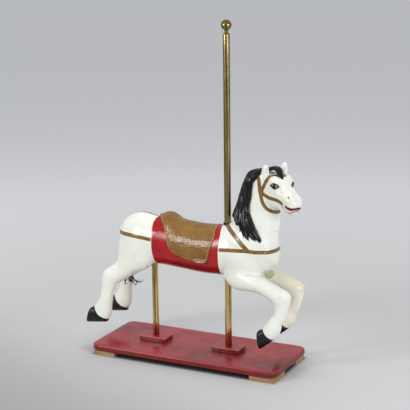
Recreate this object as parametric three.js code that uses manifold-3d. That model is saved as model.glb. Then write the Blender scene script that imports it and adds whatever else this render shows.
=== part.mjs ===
// Carousel horse on a display stand: a carved and painted jumper on two brass rods above a board.
// Millimetres, +Z up. +X is the way the horse runs and +Y is its left side.
// The tables below are measured from the middle of the board, with Z from the floor.

import * as THREE from 'three';
import { mergeVertices } from 'three/addons/utils/BufferGeometryUtils.js';
import { ParametricGeometry } from 'three/addons/geometries/ParametricGeometry.js';
import Module from 'manifold-3d';

const wasm = await Module();
wasm.setup();

// ---------------------------------------------------------------- driving dimensions

const GAP = 0.3; // clearance between pieces that touch

const BOARD = { length: 915, width: 375, thick: 27.7, corner: 42, round: 7 };
const FOOT = { size: 118, height: 20, inset: 5 };
const BLOCK = { length: 130, width: 80, height: 21, round: 2.5 };
const DECK = FOOT.height + GAP + BOARD.thick; // the board's top above the floor

const POLE = { x: 154, radius: 15, top: DECK + 1410 };
const REAR_ROD = { x: -214, radius: 14, sunk: 62, share: 0.29 }; // share: how far along the barrel
const COLLAR = { radius: 19.5, height: 8, bottom: 629 };
const FINIAL = { ball: 23, neck: 8, neckHeight: 15 };

const HEAD = { origin: [370, 0], turn: THREE.MathUtils.degToRad(30) }; // turned to the right

// Each row: x, y, z, half width, half depth.
const BARREL = [
  [-350, 0, 522, 56, 72],
  [-318, 0, 528, 80, 99],
  [-270, 0, 531, 92, 114],
  [-210, 0, 526, 90, 110],
  [-130, 0, 521, 87, 108],
  [-40, 0, 511, 88, 105],
  [50, 0, 505, 90, 105],
  [140, 0, 513, 91, 112],
  [220, 0, 524, 91, 118],
  [300, 0, 533, 86, 112],
  [346, 0, 545, 70, 96],
];
const NECK = [
  [262, 0, 560, 84, 108],
  [298, 0, 640, 72, 97],
  [310, 0, 712, 58, 92],
  [322, 0, 775, 49, 85],
  [335, -3, 830, 44, 75],
  [340, -6, 864, 40, 61],
];

// Rows of a leg are for the left side, with y away from the middle.
const SHOULDER = { at: [252, 46, 478], halves: [84, 45, 96] };
const HAUNCH = { at: [-278, 45, 478], halves: [88, 46, 100] };
const FOREARM = [
  [196, 50, 436, 30, 50],
  [235, 56, 414, 41, 58],
  [290, 63, 402, 42, 45],
  [345, 70, 392, 40, 36],
  [398, 75, 371, 38, 36],
  [435, 77, 350, 35, 40],
];
const FORE_SHANK = [
  [442, 78, 352, 34, 43],
  [440, 80, 312, 28, 34],
  [430, 83, 266, 23, 29],
  [418, 85, 240, 23, 30],
  [410, 86, 221, 26, 34],
  [401, 86, 205, 27, 38],
  [384, 86, 182, 28, 35],
];
const FORE_HOOF = { y: 86, heel: [362, 206], front: [404, 156], low: [337, 194], toe: [349, 113], half: 28 };
const HIND_LEG = [
  [-286, 52, 476, 36, 76],
  [-306, 56, 436, 40, 66],
  [-338, 63, 390, 36, 47],
  [-374, 72, 361, 32, 43],
  [-401, 80, 341, 28, 42],
  [-412, 86, 297, 24, 33],
  [-420, 90, 247, 23, 31],
  [-430, 92, 210, 26, 38],
  [-439, 92, 185, 27, 45],
  [-450, 92, 166, 29, 43],
];
const HIND_HOOF = { y: 92, heel: [-481, 198], front: [-418, 133], low: [-498, 193], toe: [-519, 120], half: 28 };

// Rows of the head: s along the turned head, 0 across, z, half width, half depth.
const SKULL = [
  [-12, 0, 838, 40, 46],
  [22, 0, 820, 48, 64],
  [54, 0, 802, 48, 68],
  [88, 0, 784, 42, 53],
  [118, 0, 770, 36, 44],
  [142, 0, 757, 32, 38],
  [154, 0, 750, 28, 31],
];
const JAW = [
  [10, 0, 782, 36, 50],
  [40, 0, 770, 38, 46],
  [80, 0, 748, 28, 30],
  [115, 0, 738, 23, 20],
  [138, 0, 735, 22, 19],
];

const COLOUR = {
  paint: 0xe9ebe1, saddle: 0x8a5f2e, hair: 0x17191c, brass: 0xb99a55, black: 0x1a1814,
  red: 0x8e2f35, wood: 0xc9a77c,
};

// ---------------------------------------------------------------- solids

const Y_AXIS = new THREE.Vector3(0, 1, 0);
const Z_AXIS = new THREE.Vector3(0, 0, 1);

// A closed three.js geometry becomes a solid with its faces pointing out.
function solid(geometry) {
  const bare = geometry.clone();
  bare.deleteAttribute('normal');
  bare.deleteAttribute('uv');
  const merged = mergeVertices(bare, 1e-4);
  const point = merged.attributes.position;
  const corners = [];
  let volume = 0;
  const [a, b, c] = [new THREE.Vector3(), new THREE.Vector3(), new THREE.Vector3()];
  for (let i = 0; i < merged.index.count; i += 3) {
    const [p, q, r] = [0, 1, 2].map((k) => merged.index.getX(i + k));
    if (p === q || q === r || r === p) continue;
    corners.push([p, q, r]);
    a.fromBufferAttribute(point, p);
    b.fromBufferAttribute(point, q);
    c.fromBufferAttribute(point, r);
    volume += a.dot(b.cross(c));
  }
  const outward = volume > 0 ? corners : corners.map(([p, q, r]) => [p, r, q]);
  return new wasm.Manifold(new wasm.Mesh({
    numProp: 3,
    vertProperties: new Float32Array(point.array),
    triVerts: new Uint32Array(outward.flat()),
  }));
}

const join = (solids) => solids.reduce((whole, next) => whole.add(next));

function meshOf(name, shape, colour, roughness = 0.5, metalness = 0) {
  const { vertProperties, triVerts } = shape.getMesh();
  const geometry = new THREE.BufferGeometry();
  geometry.setAttribute('position', new THREE.BufferAttribute(new Float32Array(vertProperties), 3));
  geometry.setIndex(new THREE.BufferAttribute(new Uint32Array(triVerts), 1));
  geometry.computeVertexNormals();
  const material = new THREE.MeshStandardMaterial({ color: colour, roughness, metalness });
  const mesh = new THREE.Mesh(geometry, material);
  mesh.name = name;
  return mesh;
}

// ---------------------------------------------------------------- lofts

// A skin over rings: each ring has a centre and two half axes, and the end rings are points.
// `square` is 1 for an ellipse and smaller for a boxier section.
function skin(rings, sides, square = 1) {
  const boxy = (value) => Math.sign(value) * Math.abs(value) ** square;
  const place = (u, v, out) => {
    const ring = rings[Math.round(v * (rings.length - 1))];
    const angle = 2 * Math.PI * (u % 1);
    out.copy(ring.centre);
    out.addScaledVector(ring.side, boxy(Math.cos(angle)));
    out.addScaledVector(ring.up, boxy(Math.sin(angle)));
  };
  return solid(new ParametricGeometry(place, sides, rings.length - 1));
}

const smooth = (points) => new THREE.CatmullRomCurve3(points, false, 'catmullrom');

// The centre line and the half sizes of a limb, from the rows of its table.
function limbCurves(rows) {
  return {
    centre: smooth(rows.map(([x, y, z]) => new THREE.Vector3(x, y, z))),
    size: smooth(rows.map((row) => new THREE.Vector3(row[3], row[4], 0))),
  };
}

// The ring across a limb at t, with its first half axis as near to `across` as it can be.
function limbRing({ centre, size }, t, across, scale = 1, grow = 0) {
  const along = centre.getTangent(t);
  const side = across.clone().addScaledVector(along, -across.dot(along)).normalize();
  const up = new THREE.Vector3().crossVectors(along, side);
  const half = size.getPoint(t);
  return {
    centre: centre.getPoint(t),
    side: side.multiplyScalar((half.x + grow) * scale),
    up: up.multiplyScalar((half.y + grow) * scale),
    along,
  };
}

// A rounded limb: rings along its rows, and a cap of the given length beyond each end.
function limb(rows, options = {}) {
  const { sides = 16, rings = 12, across = Y_AXIS, square = 1 } = options;
  const { caps = [20, 20], capRings = 2, grow = 0 } = options;
  const curves = limbCurves(rows);
  const cap = (t, length) => {
    const list = [];
    for (let k = 1; k <= capRings; k += 1) {
      const angle = (k / capRings) * (Math.PI / 2);
      const ring = limbRing(curves, t, across, k === capRings ? 0 : Math.cos(angle), grow);
      ring.centre.addScaledVector(ring.along, length * Math.sin(angle));
      list.push(ring);
    }
    return list;
  };
  const middle = (_, i) => limbRing(curves, i / rings, across, 1, grow);
  const body = Array.from({ length: rings + 1 }, middle);
  return skin([...cap(0, -caps[0]).reverse(), ...body, ...cap(1, caps[1])], sides, square);
}

const mirrored = (rows, side) => rows.map(([x, y, z, wide, deep]) => [x, side * y, z, wide, deep]);

// An egg-shaped boss with its three half axes.
function boss(centre, halves, { sides = 8, turn = 0 } = {}) {
  const shape = new THREE.SphereGeometry(1, sides, Math.round(sides * 0.7)).rotateX(Math.PI / 2);
  shape.scale(...halves).rotateZ(turn).translate(...centre);
  return solid(shape);
}

function cylinder(radius, bottom, top, x = 0, y = 0, sides = 20) {
  const shape = new THREE.CylinderGeometry(radius, radius, top - bottom, sides).rotateX(Math.PI / 2);
  return solid(shape.translate(x, y, (top + bottom) / 2));
}

// ---------------------------------------------------------------- horse

// A point of the head's own frame: s ahead, v to its left, z up.
const headForward = new THREE.Vector3(Math.cos(HEAD.turn), -Math.sin(HEAD.turn), 0);
const headLeft = new THREE.Vector3(Math.sin(HEAD.turn), Math.cos(HEAD.turn), 0);
function onHead(s, v, z) {
  const point = new THREE.Vector3(HEAD.origin[0], HEAD.origin[1], z);
  return point.addScaledVector(headForward, s).addScaledVector(headLeft, v);
}
const headRows = (rows) => rows.map(([s, v, z, wide, deep]) => [...onHead(s, v, z).toArray(), wide, deep]);

function ear(side) {
  const base = onHead(-6, side * 42, 858);
  const tip = onHead(8, side * 42, 922);
  const rows = [
    [...base.toArray(), 15, 27],
    [...base.clone().lerp(tip, 0.45).toArray(), 14, 22],
    [...base.clone().lerp(tip, 0.8).toArray(), 8, 12],
    [...tip.toArray(), 2, 3],
  ];
  const outer = limb(rows, { sides: 8, rings: 4, across: headLeft, caps: [4, 2] });
  const hollow = boss(onHead(24, side * 43, 892).toArray(), [16, 7, 24], { sides: 8, turn: -HEAD.turn });
  return outer.subtract(hollow);
}

// The open mouth: a thin curved wedge that rises to the corners.
const MOUTH = { reach: 171, corner: 108, half: 36, low: 747, high: 758, open: 4.5 };
function mouthCut() {
  const rows = [-1, -0.6, 0, 0.6, 1].map((side) => {
    const bend = side ** 2;
    const s = THREE.MathUtils.lerp(MOUTH.reach, MOUTH.corner, bend);
    const z = THREE.MathUtils.lerp(MOUTH.low, MOUTH.high, bend);
    return [...onHead(s, side * MOUTH.half, z).toArray(), 14 - 6 * bend, MOUTH.open * (1 - 0.5 * bend)];
  });
  return limb(rows, { sides: 8, rings: 8, across: headForward, caps: [3, 3] });
}

function head() {
  const turn = -HEAD.turn;
  const parts = [
    limb(headRows(SKULL), { sides: 14, rings: 8, across: headLeft, caps: [24, 17], square: 0.78 }),
    limb(headRows(JAW), { sides: 10, rings: 5, across: headLeft, caps: [20, 14] }),
    ...[-1, 1].flatMap((side) => [
      ear(side),
      boss(onHead(60, side * 19, 838).toArray(), [40, 29, 23], { sides: 10, turn }),
      boss(onHead(74, side * 38, 835).toArray(), [18, 12, 10], { turn }),
      boss(onHead(130, side * 15, 781).toArray(), [34, 21, 22], { sides: 10, turn }),
      boss(onHead(32, side * 22, 776).toArray(), [44, 25, 42], { sides: 10, turn }),
    ]),
  ];
  return join(parts).subtract(mouthCut());
}

// A hoof is a wedge between the coronet, from heel to front, and the sole, from heel to toe.
function hoof({ y, heel, front, low, toe, half }, side) {
  const point = ([x, z]) => new THREE.Vector3(x, side * y, z);
  const ringThrough = (a, b, wide) => ({
    centre: a.clone().lerp(b, 0.5),
    side: Y_AXIS.clone().multiplyScalar(wide),
    up: a.clone().sub(b).multiplyScalar(0.5),
  });
  const coronet = ringThrough(point(heel), point(front), half);
  const sole = ringThrough(point(low), point(toe), half + 2);
  const flat = ({ centre }) => ({ centre, side: new THREE.Vector3(), up: new THREE.Vector3() });
  return skin([flat(coronet), coronet, sole, flat(sole)], 14);
}

function leg(side) {
  const muscle = ({ at: [x, y, z], halves }) => boss([x, side * y, z], halves, { sides: 10 });
  return join([
    muscle(SHOULDER),
    limb(mirrored(FOREARM, side), { sides: 10, rings: 6, caps: [26, 40], capRings: 3 }),
    limb(mirrored(FORE_SHANK, side), { sides: 10, rings: 8, caps: [34, 4] }),
    hoof(FORE_HOOF, side),
    muscle(HAUNCH),
    limb(mirrored(HIND_LEG, side), { sides: 10, rings: 11, caps: [40, 4] }),
    hoof(HIND_HOOF, side),
  ]);
}

// The mane falls on the right side of the neck. Its front edge is an angle round the neck, from the
// crest, at each height, and the locks share the width behind it.
const MANE = { locks: 6, from: 868, crestTip: 640, frontTip: 590, wide: 18, thick: 13, lift: 2 };
const maneEdge = smooth([
  [884, 42], [852, 56], [820, 60], [778, 68], [745, 72],
  [715, 78], [685, 90], [655, 104], [625, 118], [586, 136],
].map(([z, angle]) => new THREE.Vector3(angle, 0, z)));

// The angle of the mane's front edge at a height, by halving the curve.
function maneAngle(z) {
  let [low, high] = [0, 1];
  for (let i = 0; i < 20; i += 1) {
    const middle = (low + high) / 2;
    if (maneEdge.getPoint(middle).z > z) low = middle;
    else high = middle;
  }
  return maneEdge.getPoint(low).x;
}

// A point just off the neck at a height z, at an angle from the crest towards the right side.
function onNeck(z, degrees, lift) {
  const curves = limbCurves(NECK);
  let [low, high] = [0, 1];
  const angle = THREE.MathUtils.degToRad(degrees);
  const at = (t) => {
    const ring = limbRing(curves, t, Y_AXIS, 1, lift);
    ring.centre.addScaledVector(ring.up, -Math.sign(ring.up.x) * Math.cos(angle));
    return ring.centre.addScaledVector(ring.side, -Math.sin(angle));
  };
  for (let i = 0; i < 24; i += 1) {
    const middle = (low + high) / 2;
    if (at(middle).z < z) low = middle;
    else high = middle;
  }
  return at(low);
}

function maneLock(k) {
  const share = k / (MANE.locks - 1);
  const tip = THREE.MathUtils.lerp(MANE.crestTip, MANE.frontTip, share);
  const poll = onHead(-26 + 6 * share, -2 - 30 * share, 884 - 12 * share);
  const rows = Array.from({ length: 7 }, (_, i) => {
    const down = i / 6;
    const z = THREE.MathUtils.lerp(MANE.from - 24 * share, tip, down);
    const sway = 4 * Math.sin(down * 5 + k * 1.7) * down;
    const place = onNeck(z, (maneAngle(z) - 8) * share ** 0.9 + sway, MANE.lift);
    const fat = Math.sin(Math.PI * Math.min(0.93, 0.3 + 0.63 * down)) ** 0.55;
    return [...place.toArray(), MANE.wide * fat, MANE.thick * fat];
  });
  const arch = poll.clone().lerp(new THREE.Vector3(...rows[0]), 0.5).setZ(poll.z + 3 - 4 * share);
  return [[...poll.toArray(), 15, 9], [...arch.toArray(), 19, 11], ...rows];
}

function mane() {
  const locks = Array.from({ length: MANE.locks }, (_, k) => {
    const face = THREE.MathUtils.degToRad(15 + 80 * (k / (MANE.locks - 1)));
    const across = new THREE.Vector3(Math.sin(face), -Math.cos(face), 0);
    return limb(maneLock(k), { sides: 6, rings: 10, across, caps: [6, 10] });
  });
  const forelock = [-1, 0, 1].map((k) => limb([
    [...onHead(-22, -16 + 5 * k, 878).toArray(), 11, 9],
    [...onHead(12, -9 + 7 * k, 892).toArray(), 11, 9],
    [...onHead(46, -5 + 7 * k, 887).toArray(), 10, 8],
    [...onHead(72, 3 * k, 872).toArray(), 8, 7],
    [...onHead(88, 1 * k, 852 - 4 * k).toArray(), 3, 3],
  ], { sides: 6, rings: 5, across: headLeft, caps: [6, 4] }));
  return join([...locks, ...forelock]);
}

const barrel = (grow = 0) => limb(BARREL, { sides: 22, rings: 11, caps: [24, 42], grow, capRings: 3 });

function horse() {
  const body = barrel();
  const neck = limb(NECK, { sides: 18, rings: 8, caps: [30, 16] });
  const carved = join([body, neck, head(), leg(1), leg(-1), mane()]);
  const poleBore = cylinder(POLE.radius + GAP, 200, 900, POLE.x);
  const collarSeat = cylinder(COLLAR.radius + GAP, COLLAR.bottom - GAP, 900, POLE.x);
  const rodTop = rodSeat();
  const rodBore = cylinder(REAR_ROD.radius + GAP, 200, rodTop + GAP, REAR_ROD.x);
  return carved.subtract(poleBore).subtract(collarSeat).subtract(rodBore).subtract(dock(GAP));
}

// The height inside the belly where the rear rod ends.
function rodSeat() {
  const { centre, size } = limbCurves(BARREL);
  return centre.getPoint(REAR_ROD.share).z - size.getPoint(REAR_ROD.share).y + REAR_ROD.sunk;
}

// ---------------------------------------------------------------- tail

// The tail's dock is a peg in a hole in the rump, and the hair hangs from it between the legs.
const TAIL = { x: -376, z: 552, sunk: 16, out: 12, radius: 8 };

function dock(grow) {
  const { x, z, sunk, out, radius } = TAIL;
  const shape = new THREE.CylinderGeometry(radius + grow, radius + grow, sunk + grow + out, 16);
  return solid(shape.rotateZ(Math.PI / 2).translate(x + (sunk + grow - out) / 2, 0, z));
}

function tail() {
  const rows = [
    [-387, 0, 552, 12, 9],
    [-388, 0, 520, 15, 9],
    [-387, 0, 480, 17, 10],
    [-384, 0, 430, 18, 12],
    [-374, 0, 375, 17, 12],
    [-358, 0, 322, 12, 9],
  ];
  return limb(rows, { sides: 10, rings: 7, caps: [12, 22] }).add(dock(0));
}

// ---------------------------------------------------------------- saddle

const SADDLE = { flap: 6, pad: 4, cantle: 18, cantleX: -139, curl: 12, reach: 109 };
const rearEdge = smooth([
  [0, -184], [27, -152], [47, -127], [66, -113], [80, -104], [93, -90], [102, -62], [109, 12],
].map(([angle, x]) => new THREE.Vector3(x, 0, angle)));
const frontEdge = smooth([
  [0, 110], [27, 118], [48, 123], [63, 119], [77, 111], [97, 100], [105, 93], [109, 74],
].map(([angle, x]) => new THREE.Vector3(x, 0, angle)));

// The parameter where a curve's coordinate, which only rises, reaches a value.
function whereReaches(valueAt, value) {
  let [low, high] = [0, 1];
  for (let i = 0; i < 22; i += 1) {
    const middle = (low + high) / 2;
    if (valueAt(middle) < value) low = middle;
    else high = middle;
  }
  return low;
}
const edgeAt = (edge, angle) => edge.getPoint(whereReaches((t) => edge.getPoint(t).z, angle)).x;

// A point over the barrel at x, at an angle from the spine, lifted off the surface.
function onBarrel(x, degrees, lift) {
  const { centre, size } = limbCurves(BARREL);
  const t = whereReaches((s) => centre.getPoint(s).x, x);
  const half = size.getPoint(t);
  const angle = THREE.MathUtils.degToRad(degrees);
  const z = centre.getPoint(t).z + (half.y + lift) * Math.cos(angle);
  return new THREE.Vector3(x, (half.x + lift) * Math.sin(angle), z);
}

function saddleLifts(x, degrees) {
  const { smoothstep } = THREE.MathUtils;
  const angle = Math.abs(degrees);
  const pad = (1 - smoothstep(angle, 10, 80)) * (1 - smoothstep(x, 50, 108));
  const ridge = Math.exp(-(((x - SADDLE.cantleX - 0.9 * angle) / (x < SADDLE.cantleX ? 24 : 54)) ** 2));
  const cantle = ridge * (1 - smoothstep(angle, 8, 56));
  const curl = SADDLE.curl * smoothstep(angle, 100, SADDLE.reach) * smoothstep(x, 10, 55);
  return { inner: -2 + 1.2 * curl, outer: SADDLE.flap + SADDLE.pad * pad + SADDLE.cantle * cantle + curl };
}

function saddle() {
  const steps = 20;
  const place = (u, v, out) => {
    const row = Math.round(v * (steps + 2));
    const closed = row === 0 || row === steps + 2;
    const degrees = SADDLE.reach * (2 * THREE.MathUtils.clamp((row - 1) / steps, 0, 1) - 1);
    const angle = 2 * Math.PI * (u % 1);
    const square = (value) => Math.sign(value) * Math.abs(value) ** 0.5;
    const along = closed ? 0.5 : 0.5 + 0.5 * square(Math.cos(angle));
    const out01 = closed ? 0.5 : 0.5 + 0.5 * square(Math.sin(angle));
    const rear = edgeAt(rearEdge, Math.abs(degrees));
    const front = edgeAt(frontEdge, Math.abs(degrees));
    const x = THREE.MathUtils.lerp(rear, front, along);
    const { inner, outer } = saddleLifts(x, degrees);
    out.copy(onBarrel(x, degrees, THREE.MathUtils.lerp(inner, outer, out01)));
  };
  const blank = solid(new ParametricGeometry(place, 12, steps + 2));
  return blank.subtract(barrel(GAP + 0.05));
}

// ---------------------------------------------------------------- rods and stand

// A piece turned about the vertical through (x, 0), from its profile of radius and height.
function turned(profile, x, sides = 20) {
  const points = profile.map(([radius, height]) => new THREE.Vector2(radius, height));
  return solid(new THREE.LatheGeometry(points, sides).rotateX(Math.PI / 2).translate(x, 0, 0));
}

function pole() {
  const { radius, top, x } = POLE;
  const shoulder = [0, 30, 60].map((degrees) => {
    const angle = THREE.MathUtils.degToRad(degrees);
    return [radius - 5 + 5 * Math.cos(angle), top - 5 + 5 * Math.sin(angle)];
  });
  return turned([[0, DECK + GAP], [radius, DECK + GAP], ...shoulder, [radius - 5, top], [0, top]], x);
}

function finial() {
  const bottom = POLE.top + GAP;
  const middle = POLE.top + FINIAL.neckHeight + FINIAL.ball - 3;
  const start = Math.asin(FINIAL.neck / FINIAL.ball);
  const ball = Array.from({ length: 9 }, (_, i) => {
    const angle = start + ((Math.PI - start) * i) / 8;
    return [Math.max(0, FINIAL.ball * Math.sin(angle)), middle - FINIAL.ball * Math.cos(angle)];
  });
  return turned([[0, bottom], [FINIAL.neck + 2, bottom], [FINIAL.neck, bottom + 3], ...ball], POLE.x, 16);
}

function collar() {
  const { radius, bottom, height } = COLLAR;
  const inner = POLE.radius + GAP;
  const top = bottom + height;
  const profile = [[inner, bottom], [radius, bottom], [radius, top - 2], [radius - 2, top], [inner, top]];
  return turned([...profile, profile[0]], POLE.x);
}

function slab(outline, bottom, height, round = 0) {
  const shape = new THREE.ExtrudeGeometry(outline, {
    depth: height - 2 * round,
    bevelEnabled: round > 0,
    bevelThickness: round,
    bevelSize: round,
    bevelOffset: -round,
    bevelSegments: 2,
    curveSegments: 5,
  });
  return solid(shape.translate(0, 0, bottom + round));
}

// A rectangle about (x, y) with its own radius at each corner, from +x +y anticlockwise.
function plate(length, width, radii, x = 0, y = 0) {
  const outline = new THREE.Shape();
  [[1, 1], [-1, 1], [-1, -1], [1, -1]].forEach(([sx, sy], k) => {
    const radius = radii[k];
    const start = (k * Math.PI) / 2;
    const cx = x + sx * (length / 2 - radius);
    const cy = y + sy * (width / 2 - radius);
    outline[k ? 'lineTo' : 'moveTo'](cx + radius * Math.cos(start), cy + radius * Math.sin(start));
    if (radius > 0) outline.absarc(cx, cy, radius, start, start + Math.PI / 2, false);
  });
  return outline;
}

function block(x, rodRadius) {
  const outline = plate(BLOCK.length, BLOCK.width, [0, 0, 0, 0], x);
  const wood = slab(outline, DECK + GAP, BLOCK.height, BLOCK.round);
  return wood.subtract(cylinder(rodRadius + GAP, DECK - 10, DECK + 60, x));
}

function foot(sx, sy) {
  const { size, height, inset } = FOOT;
  const corner = ['1 1', '-1 1', '-1 -1', '1 -1'].indexOf(`${sx} ${sy}`);
  const radii = [0, 0, 0, 0];
  radii[corner] = BOARD.corner - inset;
  const x = sx * (BOARD.length / 2 - inset - size / 2);
  const y = sy * (BOARD.width / 2 - inset - size / 2);
  return slab(plate(size, size, radii, x, y), 0, height);
}

// ---------------------------------------------------------------- group

const boardOutline = plate(BOARD.length, BOARD.width, Array(4).fill(BOARD.corner));
const pieces = [
  meshOf('horse', horse(), COLOUR.paint, 0.3),
  meshOf('saddle', saddle(), COLOUR.saddle, 0.4),
  meshOf('tail', tail(), COLOUR.hair, 0.8),
  meshOf('pole', pole(), COLOUR.brass, 0.3, 1),
  meshOf('finial', finial(), COLOUR.brass, 0.25, 1),
  meshOf('collar', collar(), COLOUR.black, 0.5),
  meshOf('rear_rod', cylinder(REAR_ROD.radius, DECK + GAP, rodSeat(), REAR_ROD.x), COLOUR.brass, 0.3, 1),
  meshOf('base_board', slab(boardOutline, FOOT.height + GAP, BOARD.thick, BOARD.round), COLOUR.red, 0.3),
  meshOf('front_block', block(POLE.x, POLE.radius), COLOUR.red, 0.3),
  meshOf('rear_block', block(REAR_ROD.x, REAR_ROD.radius), COLOUR.red, 0.3),
  meshOf('foot_front_left', foot(1, 1), COLOUR.wood, 0.8),
  meshOf('foot_front_right', foot(1, -1), COLOUR.wood, 0.8),
  meshOf('foot_rear_left', foot(-1, 1), COLOUR.wood, 0.8),
  meshOf('foot_rear_right', foot(-1, -1), COLOUR.wood, 0.8),
];

// The origin is the middle of the whole thing's plan, on the floor.
const group = new THREE.Group();
group.add(...pieces);
const middle = new THREE.Box3().setFromObject(group).getCenter(new THREE.Vector3());
group.position.set(-middle.x, -middle.y, 0);
export default group;
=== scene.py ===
"""Dressed model of the carousel horse on its stand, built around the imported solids.

The tables are in millimetres in the maker's frame: X from the middle of the board towards the
horse's chest, Y to its left, Z from the floor. world() turns them into metres in the row's frame.
"""
import math

import bmesh
import bpy
import numpy as np
from mathutils import Matrix, Vector
from mathutils.bvhtree import BVHTree

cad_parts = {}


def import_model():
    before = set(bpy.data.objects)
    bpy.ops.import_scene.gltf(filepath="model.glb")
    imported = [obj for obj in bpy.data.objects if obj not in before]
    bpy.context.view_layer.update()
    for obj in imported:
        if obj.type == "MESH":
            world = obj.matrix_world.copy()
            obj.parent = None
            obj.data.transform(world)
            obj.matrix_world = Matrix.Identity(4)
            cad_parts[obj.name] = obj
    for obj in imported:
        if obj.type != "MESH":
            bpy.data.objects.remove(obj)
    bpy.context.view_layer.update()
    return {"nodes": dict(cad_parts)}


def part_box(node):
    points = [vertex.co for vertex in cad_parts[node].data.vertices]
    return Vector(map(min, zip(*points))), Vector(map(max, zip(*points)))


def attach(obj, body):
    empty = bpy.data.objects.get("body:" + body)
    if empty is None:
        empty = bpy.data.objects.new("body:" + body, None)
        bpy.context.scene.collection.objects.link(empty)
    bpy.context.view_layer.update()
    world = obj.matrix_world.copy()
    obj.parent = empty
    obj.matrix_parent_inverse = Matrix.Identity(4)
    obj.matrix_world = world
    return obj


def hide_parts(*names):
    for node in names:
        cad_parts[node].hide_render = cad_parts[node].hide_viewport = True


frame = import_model()

MM = 0.001
board_low, board_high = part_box("base_board")
SHIFT_X = (board_low[0] + board_high[0]) / 2 / MM  # the board's middle in the row's frame
rng = np.random.default_rng(7)

# ---------------------------------------------------------------- sizes, nearly all the solids' own

BOARD = dict(length=915.0, width=375.0, bottom=20.3, top=48.0, corner=42.0, round=7.0, under=7.0)
BLOCK = dict(length=130.0, width=80.0, bottom=48.3, top=69.3, corner=3.0, round=2.5, under=1.0)
POLE = dict(x=154.0, radius=15.0, bottom=48.3, top=1458.0)
REAR_ROD = dict(x=-214.0, radius=14.0, bottom=48.3, top=478.0)
COLLAR = dict(radius=19.5, bottom=629.0, height=8.0)
FINIAL = dict(ball=23.0, neck=8.0, bottom=1458.3, neck_height=15.0)

BARREL = [
    [-350, 0, 522, 56, 72], [-318, 0, 528, 80, 99], [-270, 0, 531, 92, 114],
    [-210, 0, 526, 90, 110], [-130, 0, 521, 87, 108], [-40, 0, 511, 88, 105],
    [50, 0, 505, 90, 105], [140, 0, 513, 91, 112], [220, 0, 524, 91, 118],
    [300, 0, 535, 86, 109], [346, 0, 551, 69, 88],
]
NECK = [
    [262, 0, 560, 84, 108], [298, 0, 640, 72, 97], [310, 0, 712, 58, 92],
    [322, 0, 775, 49, 85], [335, -3, 830, 44, 75], [340, -6, 864, 40, 61],
]
SHOULDER = ([252, 46, 478], [84, 45, 96])
HAUNCH = ([-278, 45, 478], [88, 46, 100])
FOREARM = [
    [196, 50, 436, 30, 50], [235, 56, 414, 41, 58], [290, 63, 402, 42, 45],
    [345, 70, 392, 40, 36], [398, 75, 371, 38, 36], [435, 77, 350, 35, 40],
]
FORE_SHANK = [
    [442, 78, 352, 34, 43], [443, 80, 312, 28, 32], [434, 83, 266, 23, 26],
    [418, 85, 240, 23, 30], [410, 86, 221, 26, 34], [401, 86, 205, 27, 38],
    [384, 86, 182, 28, 35],
]
FORE_HOOF = dict(y=86, heel=(362, 206), front=(404, 156), low=(337, 194), toe=(349, 113), half=28)
HIND_LEG = [
    [-286, 52, 476, 36, 76], [-306, 56, 436, 40, 66], [-338, 63, 390, 36, 47],
    [-374, 72, 361, 32, 43], [-401, 80, 341, 28, 42], [-412, 86, 297, 24, 33],
    [-420, 90, 247, 23, 31], [-430, 92, 210, 26, 38], [-439, 92, 185, 27, 45],
    [-450, 92, 166, 29, 43],
]
HIND_HOOF = dict(y=92, heel=(-481, 198), front=(-418, 133), low=(-498, 193), toe=(-519, 120), half=28)

HEAD_ORIGIN = np.array([370.0, 0.0, 0.0])
HEAD_TURN = math.radians(30)  # towards the right
# On the head, s runs from its origin to the muzzle, v to its left and z from the floor.
FORWARD = np.array([math.cos(HEAD_TURN), -math.sin(HEAD_TURN), 0.0])
LEFTWARD = np.array([math.sin(HEAD_TURN), math.cos(HEAD_TURN), 0.0])
SKULL = [
    [-12, 0, 838, 40, 46], [22, 0, 820, 48, 64], [54, 0, 802, 48, 68], [88, 0, 784, 42, 53],
    [118, 0, 770, 37, 44], [139, 0, 757, 36, 38], [149, 0, 751, 32, 32],
]
JAW = [
    [10, 0, 782, 36, 50], [40, 0, 770, 38, 46], [80, 0, 748, 28, 30], [115, 0, 738, 23, 20],
    [138, 0, 735, 22, 19],
]
# Egg-shaped forms on each side of the head: centre (s, v, z), half axes and blend.
HEAD_FORMS = [
    ("cheek hollow", (112, 52, 828), (34, 18, 26), 8),
    ("forehead", (52, 20, 841), (36, 28, 21), 9),
    ("temple", (50, 29, 852), (26, 15, 17), 8),
    ("left temple", (47, 35, 857), (26, 15, 17), 8),
    ("eyeball", (67, 36, 835), (24, 15.5, 14), 4),
    ("brow", (64, 37, 849), (26, 14, 8), 5),
    ("nose", (128, 18, 781), (34, 22, 23), 10),
    ("jowl", (32, 22, 776), (44, 25, 42), 8),
]
CHEEK_SPLAY = 0.35  # how far the cheek hollows are turned outwards, in radians
EAR_OUT = {-1: 42, 1: 58}  # the ears' places across the head, right and left
EAR = [(0, 14, 25), (0.45, 13, 22), (0.8, 10, 16), (1, 6, 8)]  # share of its height, half sizes
# The mouth runs round the muzzle: angle from straight ahead, and height.
MUZZLE = dict(s=130.0, radius=36.0)
MOUTH = [[0, 751], [20, 750], [42, 750], [58, 751], [72, 754], [84, 759]]
# The mane's front edge: height, and angle round the neck from its crest.
MANE_EDGE = [
    [884, 42], [852, 56], [820, 60], [778, 68], [745, 71], [715, 75], [685, 83], [655, 94],
    [625, 107], [600, 121], [566, 143],
]
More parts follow.
